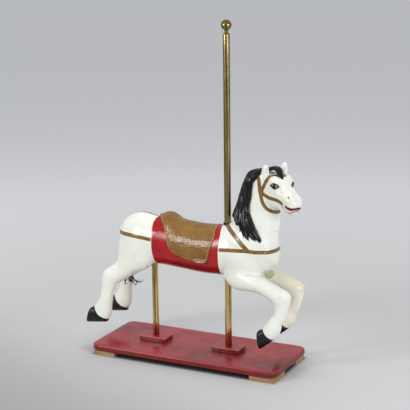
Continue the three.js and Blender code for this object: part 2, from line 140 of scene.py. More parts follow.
# Where the mane's locks end, by the share of the way from the crest to its front edge.
MANE_TIPS = [[0, 672], [0.2, 678], [0.4, 672], [0.55, 654], [0.7, 611], [0.82, 580], [0.88, 563],
             [0.93, 586], [1, 560]]
MANE = dict(locks=12, top=868, wide=13.5, thick=13, lift=2, flare=15)
TAIL = [
    [-378, 0, 552, 8, 5], [-379, 0, 520, 11, 6], [-379, 0, 480, 13, 7], [-378, 0, 430, 16, 9],
    [-374, 0, 385, 15, 10], [-366, 0, 350, 10, 8],
]
SADDLE = dict(flap=6, pad=5, cantle=18, cantle_x=-139, curl=12, reach=109)
# Degrees from the back's middle, or X, between which the saddle's forms start or fade.
PAD_SIDE, PAD_FRONT, CANTLE_SIDE, CURL_SIDE, CURL_REAR = (10, 80), (50, 108), (8, 56), (100, 109), (10, 55)
CANTLE_WIDTH = dict(rear=24, front=30)
# The saddle's edges: degrees from the back's middle, and X.
REAR_EDGE = [[0, -184], [27, -152], [47, -127], [66, -113], [80, -104], [93, -90], [102, -62], [109, 12]]
FRONT_EDGE = [[0, 110], [27, 118], [48, 123], [63, 119], [77, 111], [97, 100], [105, 93], [109, 74]]
# The blanket's edges in the same way.
BLANKET_REAR = [[0, -185], [30, -189], [45, -186], [70, -181], [130, -182], [180, -183]]
BLANKET_FRONT = [[0, 133], [20, 140], [45, 148], [90, 148], [130, 144], [180, 138]]

# ---------------------------------------------------------------- small tools


def world(points):
    """Metres in the row's frame from the maker's millimetres."""
    return (np.asarray(points, float) + [SHIFT_X, 0.0, 0.0]) * MM


def spline(rows, t):
    """Points of a uniform Catmull-Rom curve through the rows, for t from 0 to 1."""
    rows = np.asarray(rows, float)
    last = len(rows) - 1
    padded = np.vstack([2 * rows[0] - rows[1], rows, 2 * rows[-1] - rows[-2]])
    place = np.clip(np.atleast_1d(t), 0, 1) * last
    i = np.minimum(place.astype(int), last - 1)
    w = (place - i)[:, None]
    a, b, c, d = (padded[i + k] for k in range(4))
    return 0.5 * (
        2 * b + (c - a) * w + (2 * a - 5 * b + 4 * c - d) * w**2 + (3 * b - a - 3 * c + d) * w**3
    )


def unit(v):
    return v / np.linalg.norm(v, axis=-1, keepdims=True)


def smoothstep(x, low, high):
    t = np.clip((x - low) / (high - low), 0, 1)
    return t * t * (3 - 2 * t)


def on_head(s, v, z):
    return HEAD_ORIGIN + s * FORWARD + v * LEFTWARD + np.array([0.0, 0.0, z])


def head_rows(rows):
    return [[*on_head(s, v, z), wide, deep] for s, v, z, wide, deep in rows]


def mirrored(rows, side):
    return [[row[0], side * row[1], *row[2:]] for row in rows]


def frames(rows, t, across):
    """Centre, the two unit cross axes, the tangent and the half sizes along a limb."""
    both = spline(rows, t)
    ahead, behind = (spline(rows, np.clip(t + step, 0, 1))[:, :3] for step in (1e-3, -1e-3))
    along = unit(ahead - behind)
    across = np.asarray(across, float)
    side = unit(across - (along @ across)[:, None] * along)
    return both[:, :3], side, np.cross(along, side), along, both[:, 3:5]


# ---------------------------------------------------------------- carved field

FINE, COARSE = 2.6, 4.8  # grid steps on the head and on the body
FAR, MARGIN = 80.0, 6  # the distance everywhere at the start, and what a shape's window has to spare


def grid(low, middle, high):
    return np.concatenate([np.arange(low, middle, COARSE), np.arange(middle, high, FINE)])


class Field:
    """Signed distances on a rectilinear grid; shapes are blended in and the zero surface is meshed."""

    def __init__(self, *axes):
        self.axes = axes
        self.value = np.full([len(a) for a in axes], FAR, np.float32)

    def _window(self, low, high):
        window = tuple(slice(max(0, np.searchsorted(axis, a) - 1), np.searchsorted(axis, b) + 1)
                       for axis, a, b in zip(self.axes, low, high))
        grid = np.meshgrid(*[a[s] for a, s in zip(self.axes, window)], indexing="ij")
        return window, np.stack(grid, -1).reshape(-1, 3).astype(np.float32)

    def add(self, shape, blend, sign=1):
        low, high, distance = shape
        window, points = self._window(low - blend - MARGIN, high + blend + MARGIN)
        old = self.value[window]
        new = sign * distance(points).reshape(old.shape)
        h = np.clip(0.5 + sign * 0.5 * (old - new) / blend, 0, 1)
        self.value[window] = old + (new - old) * h - sign * blend * h * (1 - h)

    def cut(self, shape, blend):
        self.add(shape, blend, -1)

    def surface(self):
        """Vertices and outward quads of the zero surface, by surface nets."""
        f = self.value
        inside = f < 0
        n = [s - 1 for s in f.shape]
        corners = [(i, j, k) for i in (0, 1) for j in (0, 1) for k in (0, 1)]
        count = np.zeros(n, np.uint8)
        for i, j, k in corners:
            count += inside[i:i + n[0], j:j + n[1], k:k + n[2]]
        cells = np.argwhere((count > 0) & (count < 8))
        ids = np.full(n, -1, np.int64)
        ids[tuple(cells.T)] = np.arange(len(cells))
        values = {c: f[tuple((cells + c).T)] for c in corners}
        total = np.zeros((len(cells), 3))
        hits = np.zeros(len(cells))
        for a in corners:
            for axis in range(3):
                if a[axis]:
                    continue
                b = tuple(1 if m == axis else a[m] for m in range(3))
                va, vb = values[a], values[b]
                crossing = (va < 0) != (vb < 0)
                t = np.where(crossing, va / np.where(crossing, va - vb, 1), 0)
                place = np.tile(np.array(a, float), (len(cells), 1))
                place[:, axis] = t
                total += place * crossing[:, None]
                hits += crossing
        local = total / hits[:, None]
        points = np.empty_like(local)
        for axis, grid in enumerate(self.axes):
            base = grid[cells[:, axis]]
            points[:, axis] = base + local[:, axis] * (grid[cells[:, axis] + 1] - base)
        quads = []
        around = {0: [(0, -1, -1), (0, 0, -1), (0, 0, 0), (0, -1, 0)],
                  1: [(-1, 0, -1), (-1, 0, 0), (0, 0, 0), (0, 0, -1)],
                  2: [(-1, -1, 0), (0, -1, 0), (0, 0, 0), (-1, 0, 0)]}
        for axis, offsets in around.items():
            a, b = (np.take(inside, range(i, n[axis] + i), axis) for i in (0, 1))
            edges = np.argwhere(a != b)
            outward = a[tuple(edges.T)]
            quad = np.stack([ids[tuple((edges + o).T)] for o in offsets], 1)
            quad[~outward] = quad[~outward][:, ::-1]
            quads.append(quad)
        return points, np.vstack(quads)


def limb(rows, across=(0, 1, 0), caps=(20, 20), power=2.0, steps=28):
    """A rounded limb as a distance: an elliptical section along its rows, with a cap at each end."""
    centre, side, up, along, half = frames(rows, np.linspace(0, 1, steps + 1), across)
    reach = half.max() + max(caps)

    def distance(points):
        best = np.full(len(points), np.inf, np.float32)
        where = np.zeros(len(points), np.float32)
        for k in range(steps):
            step = centre[k + 1] - centre[k]
            w = points - centre[k]
            s = np.clip(w @ step / (step @ step), 0, 1)
            d = ((w - s[:, None] * step) ** 2).sum(1)
            closer = d < best
            best[closer] = d[closer]
            where[closer] = k + s[closer]
        k = np.minimum(where.astype(int), steps - 1)
        s = (where - k)[:, None]

        def mix(v):
            return v[k] * (1 - s) + v[k + 1] * s

        w = points - mix(centre)
        size = mix(half)
        a, b = (w * mix(side)).sum(1), (w * mix(up)).sum(1)
        start, end = where <= 0, where >= steps
        c = np.where(start, -(w @ along[0]), np.where(end, w @ along[-1], 0))
        c = np.maximum(c, 0)
        ratio = (np.abs(a / size[:, 0]) ** power + np.abs(b / size[:, 1]) ** power) ** (2 / power)
        ratio = np.sqrt(ratio + (c / np.where(start, caps[0], caps[1])) ** 2)
        length = np.sqrt(a * a + b * b + c * c)
        radius = np.where(ratio > 1e-3, length / np.maximum(ratio, 1e-3), size.min(1))
        return length - radius

    return centre.min(0) - reach, centre.max(0) + reach, distance


def boss(centre, halves, turn=0.0, pitch=0.0):
    """An egg as a distance, with its half axes turned about Z and then pitched nose down."""
    centre, halves = np.asarray(centre, float), np.asarray(halves, float)
    axes = np.array([
        [math.cos(turn) * math.cos(pitch), math.sin(turn) * math.cos(pitch), -math.sin(pitch)],
        [-math.sin(turn), math.cos(turn), 0],
        [math.cos(turn) * math.sin(pitch), math.sin(turn) * math.sin(pitch), math.cos(pitch)],
    ])

    def distance(points):
        w = (points - centre) @ axes.T
        length = np.linalg.norm(w, axis=1)
        ratio = np.linalg.norm(w / halves, axis=1)
        return length - np.where(ratio > 1e-3, length / np.maximum(ratio, 1e-3), halves.min())

    return centre - halves.max(), centre + halves.max(), distance


# ---------------------------------------------------------------- horse


def mouth_line(count=61):
    """Points along the mouth, from its right corner to its left one."""
    points = []
    for angle in np.linspace(-84, 84, count):
        turn = math.radians(angle)
        s = MUZZLE["s"] + MUZZLE["radius"] * math.cos(turn)
        z = np.interp(abs(angle), *np.array(MOUTH).T)
        points.append(on_head(s, MUZZLE["radius"] * math.sin(turn), z))
    return np.array(points)


def mouth_groove(points, radius=4.6, thinning=3.0):
    """A tube along the mouth that thins to its corners."""
    line = mouth_line(31)
    size = radius - thinning * np.abs(np.linspace(-1, 1, len(line))) ** 3
    best = np.full(len(points), 1e3)
    for k in range(len(line) - 1):
        step = line[k + 1] - line[k]
        s = np.clip((points - line[k]) @ step / (step @ step), 0, 1)
        w = points - line[k] - s[:, None] * step
        best = np.minimum(best, np.linalg.norm(w, axis=1) - (size[k] + (size[k + 1] - size[k]) * s))
    return best


def ear_rows(side):
    base, tip = on_head(-7, side * (EAR_OUT[side] - 2), 858), on_head(5, side * EAR_OUT[side], 913)
    return [[*(base + (tip - base) * share), wide, deep] for share, wide, deep in EAR]


LIMBS = [(FOREARM, (26, 40), 12), (FORE_SHANK, (34, 4), 10), (HIND_LEG, (40, 4), 20)]  # caps, blend


def carve_horse():
    field = Field(grid(-532, 286, 536), np.linspace(-129, 129, 75), grid(104, 698, 934))
    field.add(limb(BARREL, caps=(24, 42), steps=30), 1)
    field.add(limb(NECK, caps=(30, 16)), 34)
    for side in (1, -1):
        for centre, halves in (SHOULDER, HAUNCH):
            field.add(boss([centre[0], side * centre[1], centre[2]], halves), 22)
        for rows, caps, blend in LIMBS:
            field.add(limb(mirrored(rows, side), caps=caps), blend)
    field.add(limb(head_rows(SKULL), LEFTWARD, (24, 17), power=2.6), 14)
    field.add(limb(head_rows(JAW), LEFTWARD, (20, 14)), 10)
    turn = -HEAD_TURN
    for side in (1, -1):
        for name, (s, v, z), halves, blend in HEAD_FORMS:
            if side > 0 or name != "left temple":
                hollow = name == "cheek hollow"
                form = boss(on_head(s, side * v, z), halves, turn + side * CHEEK_SPLAY * hollow)
                field.add(form, blend, -1 if hollow else 1)
        field.add(limb(ear_rows(side), LEFTWARD, (4, 2), steps=14), 5)
        field.cut(boss(on_head(23, side * (EAR_OUT[side] + 1), 888), [15, 8, 22], turn), 3)
        field.cut(boss(on_head(146, side * 30, 796), [3.6, 5, 6.5], turn), 2)  # the nostril
    line = mouth_line()
    field.cut((line.min(0) - 8, line.max(0) + 8, mouth_groove), 2)
    return field.surface()


def relax(points, quads, rounds=3):
    """Taubin smoothing, which takes the grid's steps out without shrinking the form."""
    edges = np.vstack([quads[:, [0, 1]], quads[:, [1, 2]], quads[:, [2, 3]], quads[:, [3, 0]]])
    edges = np.vstack([edges, edges[:, ::-1]])
    n = len(points)
    degree = np.bincount(edges[:, 0], minlength=n)[:, None]
    for _ in range(rounds):
        for weight in (0.5, -0.52):
            mean = np.stack([np.bincount(edges[:, 0], points[edges[:, 1], m], n) for m in range(3)], 1)
            points = points + weight * (mean / degree - points)
    return points


def vertex_normals(points, quads):
    a = points[quads[:, 2]] - points[quads[:, 0]]
    b = points[quads[:, 3]] - points[quads[:, 1]]
    face = np.cross(a, b)
    out = np.zeros_like(points)
    for corner in range(4):
        for m in range(3):
            out[:, m] += np.bincount(quads[:, corner], face[:, m], len(points))
    return unit(out)


def to_line(points, line):
    """Distance of each point to a polyline."""
    best = np.full(len(points), 1e3)
    low, high = line.min(0) - 40, line.max(0) + 40
    near = np.flatnonzero(((points > low) & (points < high)).all(1))
    p = points[near]
    d = np.full(len(p), 1e6)
    for a, b in zip(line[:-1], line[1:]):
        step = b - a
        s = np.clip((p - a) @ step / max(step @ step, 1e-9), 0, 1)
        d = np.minimum(d, ((p - a - s[:, None] * step) ** 2).sum(1))
    best[near] = np.sqrt(d)
    return best


def both_sides(half):
    """A line that starts on the right and ends on the middle, run on to the left."""
    return half + mirrored(half[-2::-1], -1)


# Straps that are painted on the wood: their knots.
DIAGONAL = [(166, -19, 626), (207, -60, 610), (235, -80, 593), (263, -90, 569), (290, -93, 546)]
BREAST = both_sides([(140, -92, 535), (217, -94, 540), (283, -95, 543), (323, -88, 541), (358, -70, 540),
                     (384, -30, 541), (391, 0, 542)])
HIP = both_sides([(-170, -88, 543), (-236, -92, 551), (-291, -85, 555), (-345, -62, 554),
                  (-372, -30, 553), (-378, 0, 553)])
CRUPPER = [(-304, 0, 644), (-290, 0, 646), (-258, 0, 646), (-220, 0, 640), (-180, 0, 634)]
# s, v, z on the head, for its right side.
CHEEK = [(-24, -62, 866), (-19, -63, 849), (-16, -62, 828), (-12, -62, 800)]
THROAT = [(-12, -62, 800), (-8, -59, 777), (-2, -57, 756), (6, -52, 740), (14, -45, 728),
          (22, -35, 720), (28, -21, 714), (31, 0, 711)]
BROW = [(-8, -57, 802), (1, -53, 821), (9, -46, 841), (20, -43, 858), (24, -32, 867),
        (42, -23, 873), (60, -13, 870), (67, 0, 868)]
NOSE = [(-9, -58, 797), (6, -49, 786), (30, -46, 780), (50, -45, 779), (73, -42, 777),
        (92, -39, 773), (110, -36, 768)]
LIP_LINE = [(104, -36, 765), (110, -34, 754), (117, -30, 743), (125, -26, 736), (140, -23, 732),
            (153, -19, 733), (161, -10, 735), (165, 0, 737)]
NOSTRIL = [(145, 31, 799, 0.4), (148, 30, 793, 1.0), (151, 28, 772, 2.6)]  # and how much smaller
# Half the width of each strap on the body and on the head.
STRAPS = [(DIAGONAL, 9.5), (mirrored(DIAGONAL, -1), 9.5), (BREAST, 8.3), (HIP, 8.6), (CRUPPER, 6)]
BRIDLE = [(CHEEK, 8.6), (THROAT, 7.6), (BROW, 7.8), (NOSE, 8.4)]

# Marks on the paint: lines, and then spots with their radius.
SEAMS = [[(280, -96, 440), (289, -96, 441), (310, -91, 443), (331, -85, 446), (345, -70, 446)],
         [(432, -111, 356), (453, -106, 366)], [(385, -24, 627), (387, -12, 626), (390, 3, 623)]]
CHIPS = [(-222, -55, 410, 6.5)]
KNOT = [(338, 29, 420, 20.0)]
# Painted glints on the straps, as spots with their radius.
STRAP_GLINTS = [(239, -77, 588, 2.6), (359, -64, 539, 2.6)]


def paint(points, quads):
    """Distances on the horse's skin that its paint is masked by, in millimetres."""
    tree = BVHTree.FromPolygons(points.tolist(), quads.tolist())
    x, y, z = points.T
    s, v = (points - HEAD_ORIGIN) @ FORWARD, (points - HEAD_ORIGIN) @ LEFTWARD

    def nearest(point):
        return np.array(tree.find_nearest(Vector(point))[0][:])

    def painted(knots):
        """Distance to a smooth line through the knots, drawn onto the skin."""
        line = spline(knots, np.linspace(0, 1, 60))
        return to_line(points, np.array([nearest(p) for p in line]))

    def on_both(knots):
        """Distance to a line on the head's right side and to its mirror image."""
        right, left = (painted([on_head(a, side * b, c) for a, b, c in knots]) for side in (1, -1))
        return np.minimum(right, left)

    def spots(places):
        """Above 0 within a spot's radius."""
        return np.max([r - np.linalg.norm(points - nearest(at), axis=1) for *at, r in places], axis=0)

    angle = np.degrees(np.arctan2(np.abs(y) / 90, (z - 512) / 107))
    blanket = np.minimum(x - np.interp(angle, *np.array(BLANKET_REAR).T),
                         np.interp(angle, *np.array(BLANKET_FRONT).T) - x)
    body = np.max([half - painted(knots) for knots, half in STRAPS], axis=0)
    bridle = np.max([half - on_both(knots) for knots, half in BRIDLE], axis=0)
    nostril = [np.linalg.norm((points - nearest(on_head(a, side * b, c))) * [1, 1, 0.8], axis=1) + less
               for a, b, c, less in NOSTRIL for side in (1, -1)]
    turn = np.degrees(np.arctan2(np.abs(v), s - MUZZLE["s"]))
    # Painted shade darkens the white where the rods go in.
    rear_rod = np.where(z < 500, np.hypot(x - REAR_ROD["x"], y) - REAR_ROD["radius"], 99)
    return dict(
        blanket=blanket,
        strap=np.maximum(np.where(blanket > 0, -50, body), bridle),
        mouth=np.where((s > 95) & (z > 700), to_line(points, mouth_line()), 99),
        lip=on_both(LIP_LINE),
        nostril=np.min(nostril, axis=0),
        rods=np.minimum(np.hypot(x - POLE["x"], y) - POLE["radius"], rear_rod),
        under=np.interp(turn, *np.array(MOUTH).T) - z,  # above 0 below the mouth's line
        seam=np.min([painted(knots) for knots in SEAMS], axis=0),
        chip=spots(CHIPS),
        strap_glint=spots(STRAP_GLINTS),
        # The left foreleg's inner side, which carries painted shade.
        inner=np.minimum(np.minimum(y - 20, x - 300), 452 - z),  # the left foreleg's inner side
        knot=spots(KNOT),
    )


def make_object(name, points, faces, material, slot, replaces, attributes=None):
    mesh = bpy.data.meshes.new(name)
    mesh.from_pydata(world(points).tolist(), [], [list(map(int, f)) for f in faces])
    mesh.update()
    for key, values in (attributes or {}).items():
        data = mesh.attributes.new(key, "FLOAT", "POINT")
        data.data.foreach_set("value", np.asarray(values, np.float32))
    mesh.polygons.foreach_set("use_smooth", np.full(len(mesh.polygons), True))
    obj = bpy.data.objects.new(name, mesh)
    bpy.context.scene.collection.objects.link(obj)
    mesh.materials.append(material)
    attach(obj, "root")
    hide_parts(*replaces)
    return obj


def outward(obj):
    """Every shell's faces point out."""
    bm = bmesh.new()
    bm.from_mesh(obj.data)
    bmesh.ops.remove_doubles(bm, verts=bm.verts, dist=1e-6)
    bmesh.ops.dissolve_degenerate(bm, edges=bm.edges, dist=1e-7)
    bmesh.ops.recalc_face_normals(bm, faces=bm.faces)
    bm.to_mesh(obj.data)
    bm.free()
    return obj


def tube(rings):
    """Quads of a closed skin over rings, with a face over each end."""
    rings = np.asarray(rings, float)
    n, m = rings.shape[:2]
    i, j = np.meshgrid(np.arange(n - 1), np.arange(m), indexing="ij")
    k = (j + 1) % m
    quads = np.stack([i * m + j, i * m + k, (i + 1) * m + k, (i + 1) * m + j], -1).reshape(-1, 4)
    faces = quads.tolist() + [list(range(m - 1, -1, -1)), list(range((n - 1) * m, n * m))]
    return rings.reshape(-1, 3), faces


def gather(parts):
    """Several meshes as one."""
    points, faces, count = [], [], 0
    for p, f in parts:
        points.append(p)
        faces += [[v + count for v in face] for face in f]
        count += len(p)
    return np.vstack(points), faces


# ---------------------------------------------------------------- hair


def hair_lock(rows, across, strands, rings=56, sides=54, caps=(6, 10), swirl=0.5, depth=0.17, phase=0.0):
    """A carved lock: a limb whose skin is gouged along its length into strands."""
    t = np.linspace(0, 1, rings)
    centre, side, up, along, half = frames(rows, t, across)
    theta = np.linspace(0, 2 * np.pi, sides, endpoint=False)
    out = []

    def ring(k, scale, push):
        wave = swirl * math.sin(2.1 * math.pi * t[k] + phase) + 0.9 * t[k]
        groove = np.abs(np.cos(0.5 * strands * (theta + wave) + phase)) ** 0.75
        fine = np.abs(np.cos(1.5 * strands * (theta - 0.7 * wave) + 2 * phase))
        r = scale * (1 + depth * (groove - 0.62) + 0.045 * (fine - 0.6))
        c = centre[k] + push * along[k]
        return (c + np.outer(r * np.cos(theta) * half[k, 0], side[k])
                + np.outer(r * np.sin(theta) * half[k, 1], up[k]))

    for a in (80, 55, 28):
        out.append(ring(0, math.cos(math.radians(a)), -caps[0] * math.sin(math.radians(a))))
    out += [ring(k, 1, 0) for k in range(rings)]
    for a in (28, 55, 80):
        out.append(ring(rings - 1, math.cos(math.radians(a)), caps[1] * math.sin(math.radians(a))))
    return tube(out)


def mane_angle(z):
    """Angle of the mane's front edge round the neck, from the crest, at a height."""
    table = spline(MANE_EDGE, np.linspace(0, 1, 200))[::-1]
    return float(np.interp(z, table[:, 0], table[:, 1]))


def on_neck(z, degrees, lift):
    angle = math.radians(degrees)
    t = np.linspace(0, 1, 260)
    centre, side, up, _, half = frames(NECK, t, (0, 1, 0))
    flip = np.sign(up[:, :1])
    at = (centre - flip * up * (half[:, 1:] + lift) * math.cos(angle)
          - side * (half[:, :1] + lift) * math.sin(angle))
    k = int(np.argmin(np.abs(at[:, 2] - z)))
    return at[k]


def mane_rows(k):
    share = k / (MANE["locks"] - 1)
    tip = np.interp(share, *np.array(MANE_TIPS).T)
    poll = on_head(-26 + 6 * share, -2 - 30 * share, 880 - 10 * share)
    rows = []
    for down in np.linspace(0, 1, 9):
        z = (MANE["top"] - 24 * share) * (1 - down) + tip * down
        sway = 5 * math.sin(down * 7 + k * 1.9) * down * (1 - 0.5 * down)
        place = on_neck(z, (mane_angle(z) - 8) * share**0.95 + sway, MANE["lift"] + 6 * (1 - down) ** 2
                        + MANE["flare"] * smoothstep(down, 0.65, 1) * (1 - share) ** 1.5)
        blunt = 0.15 if share > 0.6 else 0.75
        fat = min(1.0, 0.9 + 0.5 * down) * (1 - (1 - blunt) * smoothstep(down, 0.8, 1.0))
        thick = MANE["thick"] * (0.8 + 0.2 * smoothstep(down, 0, 0.5)) * fat
        rows.append([*place, MANE["wide"] * fat, thick])
    arch = (poll + np.array(rows[0][:3])) / 2
    arch[2] = poll[2] + 1 - 4 * share
    return [[*poll, 11, 7], [*arch, 13, 8], *rows]


def mane_parts():
    parts = []
    for k in range(MANE["locks"]):
        face = math.radians(15 + 80 * k / (MANE["locks"] - 1))
        across = (math.sin(face), -math.cos(face), 0)
        parts.append(hair_lock(mane_rows(k), across, strands=5, rings=96, sides=42, phase=1.3 * k,
                               swirl=0.7, depth=0.36))
    for k in (-1, 0, 1):
        rows = [[*on_head(-22, -12 + 4 * k, 886), 10, 8], [*on_head(12, -5 + 6 * k, 899), 11, 8],
                [*on_head(42, -6 + 6 * k, 897), 10, 8], [*on_head(66, -12 + 4 * k, 879), 8, 7],
                [*on_head(82, -13 + k, 861 - 4 * k), 3, 3]]
        parts.append(hair_lock(rows, LEFTWARD, strands=5, rings=44, sides=40, caps=(6, 4),
                               phase=0.8 * k, swirl=0.4, depth=0.26))
    for k in range(5):
        rows = [[286 + 7 * k, -43 + k, 838 + 6.5 * k, 9, 8],
                [298 + 6 * k, -40 + 2 * k, 862 + 1.5 * k, 11, 9],
                [314 + 4 * k, -27 + 2 * k, 880 - k, 12, 9], [338, -7, 888, 10, 8]]
        parts.append(hair_lock(rows, (0, 1, 0), strands=5, rings=44, sides=40, caps=(6, 6),
                               phase=0.6 * k, swirl=0.5, depth=0.26))
    return parts


def tail_parts():
    parts = [hair_lock(TAIL, (0, 1, 0), strands=9, rings=60, caps=(12, 18), phase=0.4)]
    for k in range(20):
        lean = rng.uniform(0, 1)
        root = np.array([-362 + rng.normal(0, 5), rng.normal(0, 8), 345 + rng.uniform(-12, 25)])
        end = np.array([-372 + 96 * lean, rng.normal(0, 12), 318 - 26 * rng.uniform(0, 1) ** 1.5])
        bow = np.array([rng.normal(6, 7), rng.normal(0, 6), -8 - 12 * rng.uniform(0, 1)])
        curl = np.array([rng.normal(0, 6), rng.normal(0, 4), rng.uniform(2, 12)])
        knots = [root, root * 0.6 + end * 0.4 + bow, root * 0.25 + end * 0.75 + bow, end, end + curl]
        rows = [[*p, w, w] for p, w in zip(knots, (1.6, 1.3, 1.0, 0.8, 0.5))]
        parts.append(hair_lock(rows, (0, 1, 0.01), strands=2, rings=22, sides=8, caps=(1, 0.5), phase=k,
                               depth=0.1))
    return parts


# ---------------------------------------------------------------- saddle


def on_barrel(x, degrees, lift):
    table = spline(BARREL, np.linspace(0, 1, 400))
    middle, wide, deep = (np.interp(x, table[:, 0], table[:, m]) for m in (2, 3, 4))
    angle = np.radians(degrees)
    return np.stack([x, (wide + lift) * np.sin(angle), middle + (deep + lift) * np.cos(angle)], -1)


def saddle_lifts(x, degrees):
    """How far the saddle's underside and its top stand off the barrel."""
    angle = np.abs(degrees)
    pad = (1 - smoothstep(angle, *PAD_SIDE)) * (1 - smoothstep(x, *PAD_FRONT))
    width = np.where(x < SADDLE["cantle_x"], CANTLE_WIDTH["rear"], CANTLE_WIDTH["front"])
    ridge = np.exp(-(((x - SADDLE["cantle_x"] - 0.9 * angle) / width) ** 2))
    cantle = ridge * (1 - smoothstep(angle, *CANTLE_SIDE))
    curl = SADDLE["curl"] * smoothstep(angle, *CURL_SIDE) * smoothstep(x, *CURL_REAR)
    return 1.2 * curl - 1, SADDLE["flap"] + SADDLE["pad"] * pad + SADDLE["cantle"] * cantle + curl


def saddle_mesh(rows=150, columns=110):
    reach = SADDLE["reach"]
    degrees = np.linspace(-reach, reach, rows)
    rear = np.interp(np.abs(degrees), *np.array(spline(REAR_EDGE, np.linspace(0, 1, 200))).T)
    front = np.interp(np.abs(degrees), *np.array(spline(FRONT_EDGE, np.linspace(0, 1, 200))).T)
    share = 0.25 - 0.25 * np.cos(np.linspace(0, np.pi, columns)) + np.linspace(0, 0.5, columns)
    d, w = np.meshgrid(degrees, share, indexing="ij")
    x = rear[:, None] * (1 - w) + front[:, None] * w
    inner, outer = saddle_lifts(x, d)
    edge = np.minimum(np.minimum(x - rear[:, None], front[:, None] - x), (reach - np.abs(d)) * 1.75)
    round_off = np.sqrt(1 - (1 - np.clip(edge / 5, 0, 1)) ** 2)
    # A tooled line runs inside the flap's edge.
    groove = 0.9 * np.exp(-(((edge - 12) / 1.8) ** 2))
    pebble = np.zeros_like(x)
    for _ in range(26):
        kx, ka, ph = rng.normal(0, 0.8), rng.normal(0, 1.2), rng.uniform(0, 6.28)
        pebble += np.cos(kx * x + ka * d + ph)
    pebble *= 0.03 * smoothstep(edge, 3, 16)
    top = on_barrel(x, d, inner + (outer - inner) * (0.12 + 0.88 * round_off) - groove + pebble)
    under = on_barrel(x, d, inner)
    n = rows * columns
    i, j = np.meshgrid(np.arange(rows - 1), np.arange(columns - 1), indexing="ij")
    quads = np.stack([i * columns + j, (i + 1) * columns + j, (i + 1) * columns + j + 1,
                      i * columns + j + 1], -1).reshape(-1, 4)
    loop = ([(0, j) for j in range(columns)] + [(i, columns - 1) for i in range(1, rows)]
            + [(rows - 1, j) for j in range(columns - 2, -1, -1)]
            + [(i, 0) for i in range(rows - 2, 0, -1)])
    rim = [a * columns + b for a, b in loop]
    sides = [[a, b, b + n, a + n] for a, b in zip(rim, rim[1:] + rim[:1])]
    faces = quads.tolist() + (quads[:, ::-1] + n).tolist() + sides
    points = np.vstack([top.reshape(-1, 3), under.reshape(-1, 3)])
    return points, faces, np.concatenate([edge.ravel(), np.zeros(n)])


# ---------------------------------------------------------------- rods and stand


def lathe(profile, x, sides=72):
    """Quads of a piece turned about the vertical through (x, 0)."""
    theta = np.linspace(0, 2 * np.pi, sides, endpoint=False)
    rings = [np.stack([x + r * np.cos(theta), r * np.sin(theta), np.full(sides, h)], 1)
             for r, h in profile]
    return tube(rings)


def rounded(radius, start, end, cx, cz, steps=6):
    """Profile points of an arc, by its angles in degrees from the outward direction."""
    a = np.radians(np.linspace(start, end, steps))
    return [(cx + radius * math.cos(t), cz + radius * math.sin(t)) for t in a]


def slab(size, x=0.0, arc=14):
    """A board with rounded corners and eased edges, as rings from the bottom to the top."""
    def outline(inset):
        r = max(size["corner"] - inset, 0.4)
        points = []
        for k, (sx, sy) in enumerate(((1, 1), (-1, 1), (-1, -1), (1, -1))):
            cx = sx * (size["length"] / 2 - inset - r)
            cy = sy * (size["width"] / 2 - inset - r)
            for a in np.linspace(k * np.pi / 2, (k + 1) * np.pi / 2, arc):
                points.append((x + cx + r * math.cos(a), cy + r * math.sin(a)))
        return np.array(points)

    def level(ring, height):
        return np.column_stack([ring, np.full(len(ring), height)])

    quarter = np.linspace(0, np.pi / 2, 7)
    under, over, top = size["under"], size["round"], size["top"]
    profile = [(under * (1 - math.sin(a)), size["bottom"] + under * (1 - math.cos(a))) for a in quarter]
    profile += [(over * (1 - math.cos(a)), top - over * (1 - math.sin(a))) for a in quarter]
    middle = np.array([x, 0.0])
    inner = [level(middle + (outline(over) - middle) * share, top) for share in (0.6, 0.25)]
    return tube([level(outline(inset), height) for inset, height in profile] + inner)


def stand_marks(points, size, x=0.0, blocks=()):
    """Distances from the blocks on a piece, and from its top edge."""
    px, py, pz = points.T
    near = np.full(len(points), 99.0)
    for bx in blocks:
        dx = np.maximum(np.abs(px - bx) - BLOCK["length"] / 2, 0)
        dy = np.maximum(np.abs(py) - BLOCK["width"] / 2, 0)
        near = np.minimum(near, np.hypot(dx, dy))
    qx = np.abs(px - x) - (size["length"] / 2 - size["corner"])
    qy = np.abs(py) - (size["width"] / 2 - size["corner"])
    past = np.hypot(np.maximum(qx, 0), np.maximum(qy, 0)) + np.minimum(np.maximum(qx, qy), 0)
    inset = size["corner"] - past
    return {"blocks": near, "edge": np.abs(np.abs(inset) + (size["top"] - pz) - 2.4)}


def fine_top(points, faces, longest=48.0):
    """The rings' flat top is cut finely enough to carry the marks."""
    bm = bmesh.new()
    verts = [bm.verts.new(p) for p in points]
    for f in faces:
        bm.faces.new([verts[v] for v in f])
    for _ in range(3):
        long_edges = [e for e in bm.edges if e.calc_length() > longest]
        if long_edges:
            bmesh.ops.subdivide_edges(bm, edges=long_edges, cuts=3, use_grid_fill=True)
    bmesh.ops.triangulate(bm, faces=[f for f in bm.faces if len(f.verts) > 4])
    out = np.array([v.co[:] for v in bm.verts])
    bm.verts.index_update()
    found = [[v.index for v in f.verts] for f in bm.faces]
    bm.free()
    return out, found


